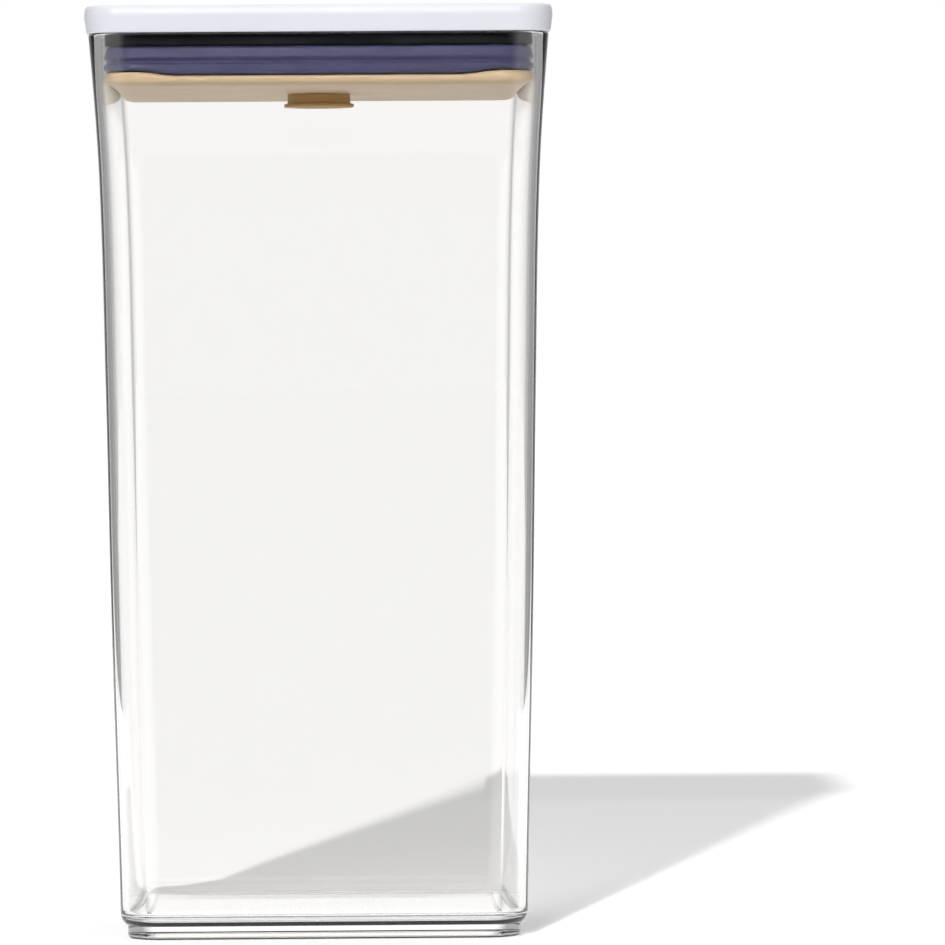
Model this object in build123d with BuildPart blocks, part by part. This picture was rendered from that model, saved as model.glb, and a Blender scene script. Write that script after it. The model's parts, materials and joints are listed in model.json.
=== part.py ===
"""Square food canister with a push-button lid, in millimetres.

The origin is at the centre of the base, on the surface that it stands on. +Z is up, and -Y is the front.
The lid is modelled shut, with its button latched down: the plate is then pulled up against the gasket.
"""

import os
from math import asin, cos, degrees, radians, sin

from build123d import *

os.makedirs("parts", exist_ok=True)

# ---- driving dimensions ----

FIT = 0.06  # radial clearance of a pin that turns in a bore
GAP = 0.3  # clearance between pieces that move past each other

# canister: (height, width across the flats) up the outside and the inside
OUTER_WALL = [
    (8.6, 140.0), (19.0, 140.2), (116.0, 145.1), (185.0, 147.4), (253.0, 150.3), (265.0, 151.2), (287.0, 153.9),
    (309.9, 157.5)
]
INNER_WALL = [
    (8.0, 134.6), (20.0, 135.0), (116.0, 139.8), (185.0, 142.1), (253.0, 144.8), (265.0, 145.7), (287.0, 148.2),
    (293.0, 149.0), (309.9, 149.2)
]
OUTER_CORNER, INNER_CORNER = 14.0, 11.0
SHOULDER, SHOULDER_CORNER = 4.4, 13.0
FOOT_WIDTH, FOOT_HEIGHT, FOOT_CORNER, FOOT_EDGE = 135.0, 4.7, 12.0, 1.8
FOOT_RECESS_WIDTH, FOOT_RECESS = 120.0, 2.2

# lid cover
SKIRT_Z, BAND_Z, LID_TOP_Z = 310.2, 316.0, 319.5
SKIRT_WIDTH, BAND_WIDTH, TOP_WIDTH = 158.5, 160.0, 159.2
LID_CORNER = 12.0
DECK_TOP_Z, DECK_UNDER_Z = 318.7, 316.3
SKIRT_INSIDE = 154.0
RIM_INSIDE = 155.6
COLLAR_OUTER, COLLAR_INNER, COLLAR_Z = 34.0, 31.5, 311.3
COVER_BOSS_R, COVER_BOSS_BORE, COVER_BOSS_DEPTH = 4.0, 1.45, 10.5

# lid chassis
FLANGE_WIDTH, FLANGE_Z, FLANGE_TOP_Z = 147.4, 306.2, 310.0
CHASSIS_WIDTH, CHASSIS_WALL, CHASSIS_CORNER = 138.0, 2.0, 9.0
FLOOR_Z, FLOOR_TOP_Z = 297.0, 298.6
SCREW_XY = 50.0
BOSS_R, BOSS_BORE, BOSS_TOP_Z = 4.6, 1.7, 303.0
HEAD_POCKET_R, HEAD_POCKET = 3.3, 2.6
HEAD_R, HEAD_SUNK, SCREW_R, SCREW_REACH = 2.9, 0.5, 1.4, 11.5
CROSS_LENGTH, CROSS_WIDTH, CROSS_DEPTH = 3.2, 0.8, 1.2
SEATING = 0.2  # between the cover and the chassis, which the screws pull together

# gasket
GASKET_WIDTH, GASKET_INSIDE, GASKET_CORNER = 148.0, 138.4, 11.5
GASKET_Z, GASKET_GROOVE_Z, GASKET_UPPER_Z, GASKET_TOP_Z = 296.0, 299.8, 301.2, 305.9
GASKET_GROOVE = 1.2
CORNER_CUT = 12.0  # how far a corner's cut reaches past the plate's raised corner

# lower plate
PLATE_WIDTH, PLATE_INSIDE, PLATE_CORNER = 147.4, 136.4, 11.5
PANEL_Z, PANEL_TOP_Z, PLATE_TOP_Z, CORNER_TOP_Z = 292.3, 293.6, 295.7, 297.1
# (height, width across the flats) of the rim's rounded underside
PLATE_UNDER = [(292.3, 137.0), (292.5, 141.0), (293.0, 144.6), (293.7, 146.6), (294.6, 147.4)]
RAISED_FROM = 61.5
PAD_CLEARANCE = 0.4

# button and its travel
BUTTON_R, BUTTON_TOP_Z, BUTTON_UNDER_Z = 31.0, 318.5, 316.5
BUTTON_WALL, BUTTON_LIP = 1.8, 1.6
BUTTON_EDGE, BUTTON_LIP_HEIGHT = 0.8, 1.4
SKIRT_BOTTOM_Z, NOTCH_TOP_Z, NOTCH_WIDTH = 299.4, 308.0, 9.4
SEAT_R, SEAT_HEIGHT = 1.8, 3.0
STAKE_CIRCLE_R, STAKE_R, STAKE_HOLE_R, STAKE_HEAD_R = 14.2, 1.2, 1.25, 1.8
STAKE_LENGTH, STAKE_HEAD_REACH, STAKE_HEAD = 2.6, 3.2, 0.9
BUTTON_TRAVEL, PLATE_TRAVEL = 10.0, 2.0

# rockers: each turns on a pin, with its long arm in the stem's groove and its short arm in a hook
PIVOT_R, PIVOT_Z, PIN_R = 40.0, 307.2, 1.5
LONG_ARM = 26.0
SHORT_ARM = LONG_ARM * PLATE_TRAVEL / BUTTON_TRAVEL
REST_TILT = degrees(asin(BUTTON_TRAVEL / 2 / LONG_ARM))
HUB_R, HUB_WIDTH, ARM_WIDTH, ARM_HEIGHT = 3.5, 8.0, 6.0, 2.6
LONG_TIP_R, SHORT_TIP_R = 1.7, 1.5
EAR_MIDDLE, EAR_THICK, PIN_PRESS = 5.6, 2.6, 0.02
PIN_LENGTH = 2 * EAR_MIDDLE + EAR_THICK - 0.2
TIP_Z = PIVOT_Z - LONG_ARM * sin(radians(REST_TILT))
HOOK_Z = PIVOT_Z + SHORT_ARM * sin(radians(REST_TILT))
HOOK_R = PIVOT_R + SHORT_ARM * cos(radians(REST_TILT))

# stem
STEM_BORE, STEM_R, FLANGE_R = 9.6, 12.0, 16.5
STEM_Z, STEM_HEAD, GROOVE_FLANGE = 299.2, 2.2, 1.2
GROOVE_HALF = LONG_TIP_R + GAP

# latch
WIRE_R, WIRE_BEND, WIRE_BORE_R = 0.6, 0.9, 0.65
LATCH_PIVOT_Z, LATCH_TIP_Z, LATCH_BACK_Y = 301.2, 311.4, 3.4
BRACKET_LENGTH, BRACKET_WIDTH, BRACKET_FOOT, BRACKET_EYE_R = 14.4, 5.2, 1.2, 2.2
BRACKET_SCREW_X, BRACKET_HOLE_R, PILOT_R = 4.6, 1.0, 0.8
BRACKET_SCREW_R, BRACKET_HEAD_R, BRACKET_HEAD = 0.75, 1.5, 0.9
CAM_FACE_Y, RISER_Y, CAM_Z, CAM_TOP_Z = 5.0, 3.6, 299.8, 313.6
TRACK_DEPTH, TRACK_WIDTH, LANE_X = 1.6, 1.9, 2.0
CAM_FIT, WIRE_END_GAP = 0.02, 0.4
CAM_SIDE_X, CAM_SIDE_WIDTH = 6.6, 4.0  # what is cut off both sides of the cam, to leave its middle

# springs
SPRING_XY, SPRING_R, SPRING_WIRE_R, SPRING_TURNS = 15.6, 2.6, 0.4, 5
SPRING_SEATING = 0.05

# spider
SPIDER_THICK, SPIDER_ARM, SPIDER_HUB, SLOT_ROOM = 1.0, 10.0, 16.0, 1.4
WINDOW_WIDTH, WINDOW_BAR = ARM_WIDTH + 0.8, 2.0

# knob
KNOB_Z, KNOB_LIP_Z, KNOB_TOP_Z = 287.1, 288.4, 292.1
KNOB_LIP_R, KNOB_R, SHANK_R, BAYONET_R = 12.25, 10.95, 6.95, 9.5
SHANK_TOP_Z, BAYONET_Z, BAYONET_WIDTH, KEYHOLE_WIDTH = 295.7, 294.8, 6.8, 8.0
KNOB_EDGE = 0.4
FINGER_R, FINGER_DEPTH, FINGER_BAR = 9.4, 2.0, 3.2
SEAL_R, SEAL_WIRE_R, SEAL_Z = 9.2, 0.75, 291.4
SEAL_GROOVE, SEAL_ROOM = 1.5, 0.1


def write(part, name):
    """Labels a finished piece and writes its STEP file."""
    part.label = name
    export_step(part, f"parts/{name}.step")


# ---- canister ----

with BuildPart() as canister_body:
    with BuildSketch(Plane.XY):
        RectangleRounded(FOOT_WIDTH, FOOT_WIDTH, FOOT_CORNER)
    extrude(amount=FOOT_HEIGHT)
    fillet(canister_body.faces().sort_by(Axis.Z)[0].edges(), radius=FOOT_EDGE)
    # the shoulder is a quarter round from the foot out to the wall
    for turn in (0, 18, 36, 54, 72, 90):
        shoulder_width = OUTER_WALL[0][1] - 2 * SHOULDER * (1 - sin(radians(turn)))
        shoulder_z = OUTER_WALL[0][0] - SHOULDER * cos(radians(turn))
        with BuildSketch(Plane.XY.offset(shoulder_z)):
            RectangleRounded(shoulder_width, shoulder_width, SHOULDER_CORNER)
    loft(ruled=True)
    for height, width in OUTER_WALL:
        with BuildSketch(Plane.XY.offset(height)):
            RectangleRounded(width, width, OUTER_CORNER)
    loft(ruled=True)
    for height, width in INNER_WALL:
        with BuildSketch(Plane.XY.offset(height)):
            RectangleRounded(width, width, INNER_CORNER)
    loft(ruled=True, mode=Mode.SUBTRACT)
    with BuildSketch(Plane.XY):
        RectangleRounded(FOOT_RECESS_WIDTH, FOOT_RECESS_WIDTH, FOOT_CORNER / 2)
    extrude(amount=FOOT_RECESS, mode=Mode.SUBTRACT)
write(canister_body.part, "canister_body")


# ---- lid cover ----

with BuildPart() as lid_cover:
    for height, width in ((SKIRT_Z, SKIRT_WIDTH), (BAND_Z, BAND_WIDTH), (LID_TOP_Z, TOP_WIDTH)):
        with BuildSketch(Plane.XY.offset(height)):
            RectangleRounded(width, width, LID_CORNER)
    loft(ruled=True)
    # the hollow under the deck
    with BuildSketch(Plane.XY.offset(SKIRT_Z)):
        RectangleRounded(SKIRT_INSIDE, SKIRT_INSIDE, LID_CORNER - 2)
    extrude(amount=DECK_UNDER_Z - SKIRT_Z, mode=Mode.SUBTRACT)
    # the shallow tray on top, which leaves a rim that keeps a stacked canister in place
    with BuildSketch(Plane.XY.offset(DECK_TOP_Z)):
        RectangleRounded(RIM_INSIDE, RIM_INSIDE, LID_CORNER - 2)
    extrude(amount=LID_TOP_Z - DECK_TOP_Z, mode=Mode.SUBTRACT)
    # the collar that guides the button
    with BuildSketch(Plane.XY.offset(COLLAR_Z)):
        Circle(COLLAR_OUTER)
    extrude(amount=DECK_UNDER_Z - COLLAR_Z)
    with BuildSketch(Plane.XY.offset(COLLAR_Z)):
        Circle(COLLAR_INNER)
    extrude(amount=LID_TOP_Z - COLLAR_Z, mode=Mode.SUBTRACT)
    # screw bosses
    with BuildSketch(Plane.XY.offset(BOSS_TOP_Z + SEATING)):
        with GridLocations(2 * SCREW_XY, 2 * SCREW_XY, 2, 2):
            Circle(COVER_BOSS_R)
    extrude(amount=DECK_UNDER_Z - BOSS_TOP_Z - SEATING)
    with BuildSketch(Plane.XY.offset(BOSS_TOP_Z + SEATING)):
        with GridLocations(2 * SCREW_XY, 2 * SCREW_XY, 2, 2):
            Circle(COVER_BOSS_BORE)
    extrude(amount=COVER_BOSS_DEPTH, mode=Mode.SUBTRACT)
write(lid_cover.part, "lid_cover")


# ---- lid chassis ----

with BuildPart() as lid_chassis:
    with BuildSketch(Plane.XY.offset(FLOOR_Z)):
        RectangleRounded(CHASSIS_WIDTH, CHASSIS_WIDTH, CHASSIS_CORNER)
    extrude(amount=DECK_UNDER_Z - SEATING - FLOOR_Z)
    with BuildSketch(Plane.XY.offset(FLANGE_Z)):
        RectangleRounded(FLANGE_WIDTH, FLANGE_WIDTH, GASKET_CORNER)
    extrude(amount=FLANGE_TOP_Z - FLANGE_Z)
    inside = CHASSIS_WIDTH - 2 * CHASSIS_WALL
    with BuildSketch(Plane.XY.offset(FLOOR_TOP_Z)):
        RectangleRounded(inside, inside, CHASSIS_CORNER - CHASSIS_WALL)
    extrude(amount=LID_TOP_Z - FLOOR_TOP_Z, mode=Mode.SUBTRACT)
    # screw bosses, with a pocket for each head below
    with BuildSketch(Plane.XY.offset(FLOOR_TOP_Z)):
        with GridLocations(2 * SCREW_XY, 2 * SCREW_XY, 2, 2):
            Circle(BOSS_R)
    extrude(amount=BOSS_TOP_Z - FLOOR_TOP_Z)
    with BuildSketch(Plane.XY.offset(FLOOR_Z)):
        with GridLocations(2 * SCREW_XY, 2 * SCREW_XY, 2, 2):
            Circle(HEAD_POCKET_R)
    extrude(amount=HEAD_POCKET, mode=Mode.SUBTRACT)
    with BuildSketch(Plane.XY.offset(FLOOR_Z)):
        with GridLocations(2 * SCREW_XY, 2 * SCREW_XY, 2, 2):
            Circle(BOSS_BORE)
    extrude(amount=BOSS_TOP_Z - FLOOR_Z, mode=Mode.SUBTRACT)
    # two ears for each rocker's pin
    with BuildSketch(Plane.XY.offset(FLOOR_TOP_Z)):
        with PolarLocations(PIVOT_R, 4):
            with Locations((0, EAR_MIDDLE), (0, -EAR_MIDDLE)):
                Rectangle(2 * HUB_R, EAR_THICK)
    extrude(amount=PIVOT_Z + HUB_R - FLOOR_TOP_Z)
    for pin_axis in (Plane.XZ, Plane.YZ):
        with BuildSketch(pin_axis):
            with Locations((-PIVOT_R, PIVOT_Z), (PIVOT_R, PIVOT_Z)):
                Circle(PIN_R + PIN_PRESS)
        extrude(amount=PIVOT_R / 2, both=True, mode=Mode.SUBTRACT)
    # slots for the spider's hooks
    with BuildSketch(Plane.XY.offset(FLOOR_Z)):
        with PolarLocations(HOOK_R, 4):
            Rectangle(SPIDER_THICK + SLOT_ROOM, SPIDER_ARM + SLOT_ROOM)
    extrude(amount=FLOOR_TOP_Z - FLOOR_Z, mode=Mode.SUBTRACT)
    # pilot holes for the bracket's screws
    with BuildSketch(Plane.XY.offset(FLOOR_Z)):
        with Locations((-BRACKET_SCREW_X, 0), (BRACKET_SCREW_X, 0)):
            Circle(PILOT_R)
    extrude(amount=FLOOR_TOP_Z - FLOOR_Z, mode=Mode.SUBTRACT)
write(lid_chassis.part, "lid_chassis")


# ---- fasteners of the chassis ----

with BuildPart() as chassis_screws:
    with BuildSketch(Plane.XY.offset(FLOOR_Z + HEAD_SUNK)):
        with GridLocations(2 * SCREW_XY, 2 * SCREW_XY, 2, 2):
            Circle(HEAD_R)
    extrude(amount=HEAD_POCKET - HEAD_SUNK)
    with BuildSketch(Plane.XY.offset(FLOOR_Z + HEAD_POCKET)):
        with GridLocations(2 * SCREW_XY, 2 * SCREW_XY, 2, 2):
            Circle(SCREW_R)
    extrude(amount=SCREW_REACH)
    # cross recesses in the heads
    with BuildSketch(Plane.XY.offset(FLOOR_Z + HEAD_SUNK)):
        with GridLocations(2 * SCREW_XY, 2 * SCREW_XY, 2, 2):
            Rectangle(CROSS_LENGTH, CROSS_WIDTH)
            Rectangle(CROSS_WIDTH, CROSS_LENGTH)
    extrude(amount=CROSS_DEPTH, mode=Mode.SUBTRACT)
write(chassis_screws.part, "chassis_screws")

with BuildPart() as rocker_pins:
    for pin_plane in (Plane.XZ, Plane.YZ):
        with BuildSketch(pin_plane):
            with Locations((-PIVOT_R, PIVOT_Z), (PIVOT_R, PIVOT_Z)):
                Circle(PIN_R)
        extrude(amount=PIN_LENGTH / 2, both=True)
write(rocker_pins.part, "rocker_pins")


# ---- latch: bracket, wire and heart-shaped track ----

with BuildPart() as latch_bracket:
    with BuildSketch(Plane.XY.offset(FLOOR_TOP_Z)):
        SlotOverall(BRACKET_LENGTH, BRACKET_WIDTH)
    extrude(amount=BRACKET_FOOT)
    with BuildSketch(Plane.XZ):
        with Locations((0, LATCH_PIVOT_Z)):
            Circle(BRACKET_EYE_R)
        with Locations((0, (FLOOR_TOP_Z + LATCH_PIVOT_Z) / 2)):
            Rectangle(2 * BRACKET_EYE_R, LATCH_PIVOT_Z - FLOOR_TOP_Z)
    extrude(amount=BRACKET_WIDTH / 2, both=True)
    with BuildSketch(Plane.XZ):
        with Locations((0, LATCH_PIVOT_Z)):
            Circle(WIRE_BORE_R)
    extrude(amount=BRACKET_WIDTH / 2, both=True, mode=Mode.SUBTRACT)
    with BuildSketch(Plane.XY.offset(FLOOR_TOP_Z)):
        with Locations((-BRACKET_SCREW_X, 0), (BRACKET_SCREW_X, 0)):
            Circle(BRACKET_HOLE_R)
    extrude(amount=BRACKET_FOOT, mode=Mode.SUBTRACT)
write(latch_bracket.part, "latch_bracket")

with BuildPart() as bracket_screws:
    with BuildSketch(Plane.XY.offset(FLOOR_Z + GAP)):
        with Locations((-BRACKET_SCREW_X, 0), (BRACKET_SCREW_X, 0)):
            Circle(BRACKET_SCREW_R)
    extrude(amount=FLOOR_TOP_Z + BRACKET_FOOT - FLOOR_Z - GAP)
    with BuildSketch(Plane.XY.offset(FLOOR_TOP_Z + BRACKET_FOOT)):
        with Locations((-BRACKET_SCREW_X, 0), (BRACKET_SCREW_X, 0)):
            Circle(BRACKET_HEAD_R)
    extrude(amount=BRACKET_HEAD)
write(bracket_screws.part, "bracket_screws")

with BuildPart() as latch_wire:
    with BuildLine():
        FilletPolyline(
            (0, -LATCH_BACK_Y, LATCH_PIVOT_Z),
            (0, RISER_Y, LATCH_PIVOT_Z),
            (0, RISER_Y, LATCH_TIP_Z),
            (0, CAM_FACE_Y + TRACK_DEPTH - WIRE_END_GAP, LATCH_TIP_Z),
            radius=WIRE_BEND,
        )
    with BuildSketch(Plane.XZ.offset(LATCH_BACK_Y)):
        with Locations((0, LATCH_PIVOT_Z)):
            Circle(WIRE_R)
    sweep()
write(latch_wire.part, "latch_wire")

with BuildPart() as heart_cam:
    with BuildSketch(Plane.XY.offset(CAM_Z)):
        Circle(STEM_BORE - CAM_FIT)
        with Locations((0, CAM_FACE_Y - STEM_BORE)):
            Rectangle(2 * STEM_BORE, 2 * STEM_BORE, mode=Mode.SUBTRACT)
        with Locations((-CAM_SIDE_X, CAM_FACE_Y), (CAM_SIDE_X, CAM_FACE_Y)):
            Rectangle(CAM_SIDE_WIDTH, STEM_BORE, mode=Mode.SUBTRACT)
    extrude(amount=CAM_TOP_Z - CAM_Z)
    # the track: two slanted lanes that meet at the top, and a lane across the bottom
    lane_foot_z = LATCH_TIP_Z - BUTTON_TRAVEL
    lane_length = (LANE_X**2 + BUTTON_TRAVEL**2) ** 0.5
    lane_lean = degrees(asin(LANE_X / lane_length))
    with BuildSketch(Plane.XZ.offset(-CAM_FACE_Y)):
        for side in (-1, 1):
            lane_middle = (side * LANE_X / 2, (LATCH_TIP_Z + lane_foot_z) / 2)
            with Locations(Location(lane_middle, 90 + side * lane_lean)):
                SlotCenterToCenter(lane_length, TRACK_WIDTH)
        with Locations((0, lane_foot_z)):
            SlotCenterToCenter(2 * LANE_X, TRACK_WIDTH)
    extrude(amount=-TRACK_DEPTH, mode=Mode.SUBTRACT)
write(heart_cam.part, "heart_cam")


# ---- button and stem ----

with BuildPart() as push_button:
    with BuildSketch(Plane.XY.offset(SKIRT_BOTTOM_Z)):
        Circle(BUTTON_R)
    extrude(amount=BUTTON_TOP_Z - SKIRT_BOTTOM_Z)
    fillet(push_button.faces().sort_by(Axis.Z)[-1].edges(), radius=BUTTON_EDGE)
    # the lip at the skirt's foot, which stops under the cover's collar
    with BuildSketch(Plane.XY.offset(SKIRT_BOTTOM_Z)):
        Circle(BUTTON_R + BUTTON_LIP)
    extrude(amount=BUTTON_LIP_HEIGHT)
    with BuildSketch(Plane.XY.offset(SKIRT_BOTTOM_Z)):
        Circle(BUTTON_R - BUTTON_WALL)
    extrude(amount=BUTTON_UNDER_Z - SKIRT_BOTTOM_Z, mode=Mode.SUBTRACT)
    # notches that the rockers pass through
    with BuildSketch(Plane.XY.offset(SKIRT_BOTTOM_Z)):
        Rectangle(2 * BUTTON_R + 4 * BUTTON_LIP, NOTCH_WIDTH)
        Rectangle(NOTCH_WIDTH, 2 * BUTTON_R + 4 * BUTTON_LIP)
    extrude(amount=NOTCH_TOP_Z - SKIRT_BOTTOM_Z, mode=Mode.SUBTRACT)
    # spring seats and the stakes that hold the stem
    with BuildSketch(Plane.XY.offset(BUTTON_UNDER_Z - SEAT_HEIGHT)):
        with GridLocations(2 * SPRING_XY, 2 * SPRING_XY, 2, 2):
            Circle(SEAT_R)
    extrude(amount=SEAT_HEIGHT)
    with BuildSketch(Plane.XY.offset(BUTTON_UNDER_Z - STAKE_LENGTH)):
        with PolarLocations(STAKE_CIRCLE_R, 4, start_angle=45):
            Circle(STAKE_R)
    extrude(amount=STAKE_LENGTH)
    with BuildSketch(Plane.XY.offset(BUTTON_UNDER_Z - STAKE_HEAD_REACH)):
        with PolarLocations(STAKE_CIRCLE_R, 4, start_angle=45):
            Circle(STAKE_HEAD_R)
    extrude(amount=STAKE_HEAD)
write(push_button.part, "push_button")

with BuildPart() as button_stem:
    with BuildSketch(Plane.XY.offset(STEM_Z)):
        Circle(STEM_R)
    extrude(amount=BUTTON_UNDER_Z - STEM_Z)
    for flange_z, flange_thick in (
        (STEM_Z, TIP_Z - GROOVE_HALF - STEM_Z),
        (TIP_Z + GROOVE_HALF, GROOVE_FLANGE),
        (BUTTON_UNDER_Z - STEM_HEAD, STEM_HEAD),
    ):
        with BuildSketch(Plane.XY.offset(flange_z)):
            Circle(FLANGE_R)
        extrude(amount=flange_thick)
    with BuildSketch(Plane.XY.offset(STEM_Z)):
        Circle(STEM_BORE)
    extrude(amount=BUTTON_UNDER_Z - STEM_Z, mode=Mode.SUBTRACT)
    with BuildSketch(Plane.XY.offset(BUTTON_UNDER_Z - STEM_HEAD)):
        with PolarLocations(STAKE_CIRCLE_R, 4, start_angle=45):
            Circle(STAKE_HOLE_R)
    extrude(amount=STEM_HEAD, mode=Mode.SUBTRACT)
write(button_stem.part, "button_stem")

with BuildPart() as pop_springs:
    spring_low = FLOOR_TOP_Z + SPRING_WIRE_R + SPRING_SEATING
    spring_high = BUTTON_UNDER_Z - SPRING_WIRE_R - SPRING_SEATING
    spring_height = spring_high - spring_low
    with BuildLine():
        Helix(
            pitch=spring_height / SPRING_TURNS,
            height=spring_height,
            radius=SPRING_R,
            center=(SPRING_XY, SPRING_XY, spring_low),
        )
    spring_start = Plane((SPRING_XY + SPRING_R, SPRING_XY, spring_low), x_dir=(1, 0, 0), z_dir=(0, 1, 0))
    with BuildSketch(spring_start):
        Circle(SPRING_WIRE_R)
    sweep(is_frenet=True)
    mirror(about=Plane.XZ)
    mirror(about=Plane.YZ)
write(pop_springs.part, "pop_springs")


# ---- rockers ----

for rocker_name, bearing in (("rocker_right", 0), ("rocker_back", 90), ("rocker_left", 180), ("rocker_front", 270)):
    outward = Vector(cos(radians(bearing)), sin(radians(bearing)), 0)
    across = outward.cross(Vector(0, 0, 1))
    side_plane = Plane(outward * PIVOT_R + Vector(0, 0, PIVOT_Z), x_dir=outward, z_dir=across)
    lift = radians(REST_TILT)
    long_tip = (-LONG_ARM * cos(lift), -LONG_ARM * sin(lift))
    short_tip = (SHORT_ARM * cos(lift), SHORT_ARM * sin(lift))
    with BuildPart() as rocker:
        with BuildSketch(side_plane.offset(-HUB_WIDTH / 2)):
            Circle(HUB_R)
        extrude(amount=HUB_WIDTH)
        with BuildSketch(side_plane.offset(-ARM_WIDTH / 2)):
            with Locations(long_tip):
                Circle(LONG_TIP_R)
            with Locations(short_tip):
                Circle(SHORT_TIP_R)
            arm_length = LONG_ARM + SHORT_ARM
            middle = ((long_tip[0] + short_tip[0]) / 2, (long_tip[1] + short_tip[1]) / 2)
            with Locations(Location(middle, REST_TILT)):
                Rectangle(arm_length, ARM_HEIGHT)
        extrude(amount=ARM_WIDTH)
        with BuildSketch(side_plane.offset(-HUB_WIDTH / 2)):
            Circle(PIN_R + FIT)
        extrude(amount=HUB_WIDTH, mode=Mode.SUBTRACT)
    write(rocker.part, rocker_name)


# ---- gasket ----

with BuildPart() as gasket:
    for ring_z, ring_top, ring_width in (
        (GASKET_Z, GASKET_GROOVE_Z, GASKET_WIDTH),
        (GASKET_GROOVE_Z, GASKET_UPPER_Z, GASKET_WIDTH - 2 * GASKET_GROOVE),
        (GASKET_UPPER_Z, GASKET_TOP_Z, GASKET_WIDTH),
    ):
        with BuildSketch(Plane.XY.offset(ring_z)):
            RectangleRounded(ring_width, ring_width, GASKET_CORNER)
            RectangleRounded(GASKET_INSIDE, GASKET_INSIDE, CHASSIS_CORNER, mode=Mode.SUBTRACT)
        extrude(amount=ring_top - ring_z)
    # the corners are cut short where the plate's corners rise
    cut = GASKET_WIDTH - 2 * RAISED_FROM + 2 * CORNER_CUT
    with BuildSketch(Plane.XY.offset(GASKET_Z)):
        with GridLocations(GASKET_WIDTH, GASKET_WIDTH, 2, 2):
            Rectangle(cut, cut)
    extrude(amount=CORNER_TOP_Z + GAP - GASKET_Z, mode=Mode.SUBTRACT)
write(gasket.part, "gasket")


# ---- plate and the spider that lifts it ----

with BuildPart() as lower_plate:
    for height, width in PLATE_UNDER + [(PLATE_TOP_Z, PLATE_WIDTH)]:
        with BuildSketch(Plane.XY.offset(height)):
            RectangleRounded(width, width, PLATE_CORNER - (PLATE_WIDTH - width) / 2)
    loft(ruled=True)
    # the tray inside the rim
    with BuildSketch(Plane.XY.offset(PANEL_TOP_Z)):
        RectangleRounded(PLATE_INSIDE, PLATE_INSIDE, PLATE_CORNER - 4)
    extrude(amount=PLATE_TOP_Z - PANEL_TOP_Z, mode=Mode.SUBTRACT)
    # raised corners
    with BuildSketch(Plane.XY.offset(PANEL_TOP_Z)):
        RectangleRounded(PLATE_WIDTH, PLATE_WIDTH, PLATE_CORNER)
        pad_inside = CHASSIS_WIDTH + 2 * PAD_CLEARANCE
        RectangleRounded(pad_inside, pad_inside, CHASSIS_CORNER, mode=Mode.SUBTRACT)
        Rectangle(2 * RAISED_FROM, 2 * PLATE_WIDTH, mode=Mode.SUBTRACT)
        Rectangle(2 * PLATE_WIDTH, 2 * RAISED_FROM, mode=Mode.SUBTRACT)
    extrude(amount=CORNER_TOP_Z - PANEL_TOP_Z)
    with BuildSketch(Plane.XY.offset(PANEL_Z)):
        Circle(SHANK_R + FIT)
    extrude(amount=PANEL_TOP_Z - PANEL_Z, mode=Mode.SUBTRACT)
write(lower_plate.part, "lower_plate")

with BuildPart() as lift_spider:
    reach = HOOK_R + SPIDER_THICK / 2
    with BuildSketch(Plane.XY.offset(PANEL_TOP_Z)):
        Circle(SPIDER_HUB)
        Rectangle(2 * reach, SPIDER_ARM)
        Rectangle(SPIDER_ARM, 2 * reach)
    extrude(amount=SPIDER_THICK)
    with BuildSketch(Plane.XY.offset(PANEL_TOP_Z)):
        with PolarLocations(HOOK_R, 4):
            Rectangle(SPIDER_THICK, SPIDER_ARM)
    extrude(amount=HOOK_Z + SHORT_TIP_R + WINDOW_BAR - PANEL_TOP_Z)
    # windows that the short arms reach through
    for window_plane in (Plane.XZ, Plane.YZ):
        with BuildSketch(window_plane):
            with Locations((0, HOOK_Z)):
                Rectangle(WINDOW_WIDTH, 2 * (SHORT_TIP_R + GAP))
        extrude(amount=HOOK_R + SPIDER_THICK, both=True, mode=Mode.SUBTRACT)
    # keyhole for the knob's bayonet
    with BuildSketch(Plane.XY.offset(PANEL_TOP_Z)):
        Circle(SHANK_R + GAP / 2)
        Rectangle(KEYHOLE_WIDTH, 2 * BAYONET_R + 2 * GAP)
    extrude(amount=SPIDER_THICK, mode=Mode.SUBTRACT)
write(lift_spider.part, "lift_spider")


# ---- knob ----

with BuildPart() as hub_knob:
    with BuildSketch(Plane.XY.offset(KNOB_Z)):
        Circle(KNOB_LIP_R)
    extrude(amount=KNOB_LIP_Z - KNOB_Z)
    fillet(hub_knob.edges(), radius=KNOB_EDGE)
    with BuildSketch(Plane.XY.offset(KNOB_LIP_Z)):
        Circle(KNOB_R)
    extrude(amount=KNOB_TOP_Z - KNOB_LIP_Z)
    with BuildSketch(Plane.XY.offset(KNOB_TOP_Z)):
        Circle(SHANK_R)
    extrude(amount=SHANK_TOP_Z - KNOB_TOP_Z)
    # the two bayonet ears, which lie over the spider when the knob is locked
    with BuildSketch(Plane.XY.offset(BAYONET_Z)):
        Rectangle(2 * BAYONET_R, BAYONET_WIDTH)
    extrude(amount=SHANK_TOP_Z - BAYONET_Z)
    # the seal's groove
    with BuildSketch(Plane.XY.offset(KNOB_TOP_Z)):
        Circle(SEAL_R + SEAL_WIRE_R + SEAL_ROOM)
        Circle(SEAL_R - SEAL_WIRE_R - SEAL_ROOM, mode=Mode.SUBTRACT)
    extrude(amount=-SEAL_GROOVE, mode=Mode.SUBTRACT)
    # the finger recess, with a bar to turn it by
    with BuildSketch(Plane.XY.offset(KNOB_Z)):
        Circle(FINGER_R)
        Rectangle(2 * FINGER_R + 1, FINGER_BAR, mode=Mode.SUBTRACT)
    extrude(amount=FINGER_DEPTH, mode=Mode.SUBTRACT)
write(hub_knob.part, "hub_knob")

with BuildPart() as hub_seal:
    with BuildSketch(Plane.XZ):
        with Locations((SEAL_R, SEAL_Z)):
            Circle(SEAL_WIRE_R)
    revolve(axis=Axis.Z)
write(hub_seal.part, "hub_seal")
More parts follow.
